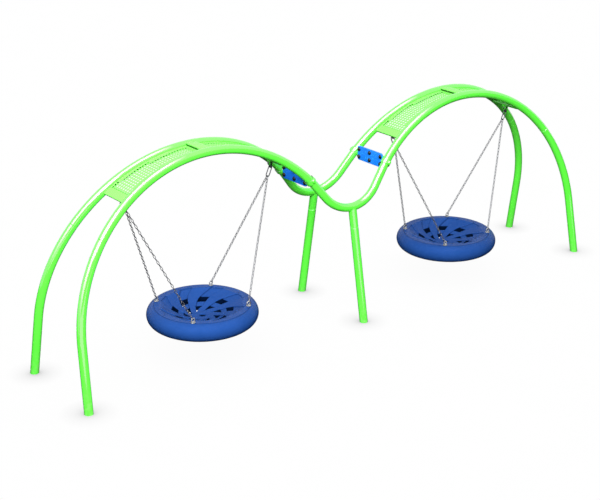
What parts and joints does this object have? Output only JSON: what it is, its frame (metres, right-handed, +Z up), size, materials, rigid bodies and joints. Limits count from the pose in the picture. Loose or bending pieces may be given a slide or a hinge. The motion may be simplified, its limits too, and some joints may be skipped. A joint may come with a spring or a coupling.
{
  "type": "glider swing",
  "caption": "Playground glider swing: two arched tube rails with a dip between them carry two round, dished moulded seats, each on four chains from swivel hangers.",
  "frame": {"origin": "on the ground under the middle of the frame", "axes": "+X along the frame through both seats, +Y across the frame, +Z up"},
  "size_m": [6.8768, 1.1802, 2.2057],
  "materials": {
    "green_paint": "gloss powder coat",
    "steel": "galvanised",
    "eye_steel": "satin",
    "seat_plastic": "fine texture",
    "blue_panel": "satin",
    "black_cap": "domed bolt caps of the panels"
  },
  "bodies": {
    "frame": {"near_saddle_tube": "green_paint", "near_post": "green_paint", "near_left_arch_tube": "green_paint", "near_left_leg_tube": "green_paint", "near_left_clamp": "green_paint", "near_right_arch_tube": "green_paint", "near_right_leg_tube": "green_paint", "near_right_clamp": "green_paint", "far_saddle_tube": "green_paint", "far_post": "green_paint", "far_left_arch_tube": "green_paint", "far_left_leg_tube": "green_paint", "far_left_clamp": "green_paint", "far_right_arch_tube": "green_paint", "far_right_leg_tube": "green_paint", "far_right_clamp": "green_paint", "left_blue_panel": "blue_panel", "left_apex_plate": "green_paint", "left_outer_deck": "green_paint", "left_outer_hanger_bracket": "green_paint", "left_outer_hanger_pin": "steel", "left_inner_deck": "green_paint", "left_inner_hanger_bracket": "green_paint", "left_inner_hanger_pin": "steel", "right_blue_panel": "blue_panel", "right_apex_plate": "green_paint", "right_outer_deck": "green_paint", "right_outer_hanger_bracket": "green_paint", "right_outer_hanger_pin": "steel", "right_inner_deck": "green_paint", "right_inner_hanger_bracket": "green_paint", "right_inner_hanger_pin": "steel"},
    "left_swing": {"left_outer_yoke": "steel", "left_inner_yoke": "steel"},
    "left_outer_chains": {"left_outer_oval_link": "steel", "left_outer_near_chain": "steel", "left_outer_far_chain": "steel"},
    "left_inner_chains": {"left_inner_oval_link": "steel", "left_inner_near_chain": "steel", "left_inner_far_chain": "steel"},
    "left_seat": {"left_seat_rim": "seat_plastic", "left_seat_dish": "seat_plastic", "left_outer_near_eyebolt": "eye_steel", "left_outer_far_eyebolt": "eye_steel", "left_inner_near_eyebolt": "eye_steel", "left_inner_far_eyebolt": "eye_steel"},
    "right_swing": {"right_outer_yoke": "steel", "right_inner_yoke": "steel"},
    "right_outer_chains": {"right_outer_oval_link": "steel", "right_outer_near_chain": "steel", "right_outer_far_chain": "steel"},
    "right_inner_chains": {"right_inner_oval_link": "steel", "right_inner_near_chain": "steel", "right_inner_far_chain": "steel"},
    "right_seat": {"right_seat_rim": "seat_plastic", "right_seat_dish": "seat_plastic", "right_outer_near_eyebolt": "eye_steel", "right_outer_far_eyebolt": "eye_steel", "right_inner_near_eyebolt": "eye_steel", "right_inner_far_eyebolt": "eye_steel"}
  },
  "joints": [
    {"name": "left_swing_joint", "type": "hinge", "parent": "frame", "child": "left_swing", "pos_m": [-1.72606, 0, 1.83368], "axis": [1, 0, 0], "range_deg": [-45, 45]},
    {"name": "left_glide", "type": "hinge", "parent": "left_swing", "child": "left_outer_chains", "pos_m": [-2.61206, 0, 1.79168], "axis": [0, 1, 0], "range_deg": [-6, 6]},
    {"name": "left_seat_tilt", "type": "hinge", "parent": "left_outer_chains", "child": "left_seat", "pos_m": [-2.06706, 0, 0.5228], "axis": [0, 1, 0], "range_deg": [-16, 16]},
    {"name": "left_inner_link_joint", "type": "hinge", "parent": "left_swing", "child": "left_inner_chains", "pos_m": [-0.84006, 0, 1.79168], "axis": [0, 1, 0], "range_deg": [-6.5, 6.5]},
    {"name": "right_swing_joint", "type": "hinge", "parent": "frame", "child": "right_swing", "pos_m": [1.72606, 0, 1.83368], "axis": [1, 0, 0], "range_deg": [-45, 45]},
    {"name": "right_glide", "type": "hinge", "parent": "right_swing", "child": "right_outer_chains", "pos_m": [2.61206, 0, 1.79168], "axis": [0, 1, 0], "range_deg": [-6, 6]},
    {"name": "right_seat_tilt", "type": "hinge", "parent": "right_outer_chains", "child": "right_seat", "pos_m": [2.06706, 0, 0.5228], "axis": [0, 1, 0], "range_deg": [-16, 16]},
    {"name": "right_inner_link_joint", "type": "hinge", "parent": "right_swing", "child": "right_inner_chains", "pos_m": [0.84006, 0, 1.79168], "axis": [0, 1, 0], "range_deg": [-6.5, 6.5]}
  ],
  "couplings": [
    {"joint": "left_seat_tilt", "follows": "left_glide", "ratio": -2.5982},
    {"joint": "left_inner_link_joint", "follows": "left_glide", "ratio": 1},
    {"joint": "right_seat_tilt", "follows": "right_glide", "ratio": -2.5982},
    {"joint": "right_inner_link_joint", "follows": "right_glide", "ratio": 1}
  ]
}
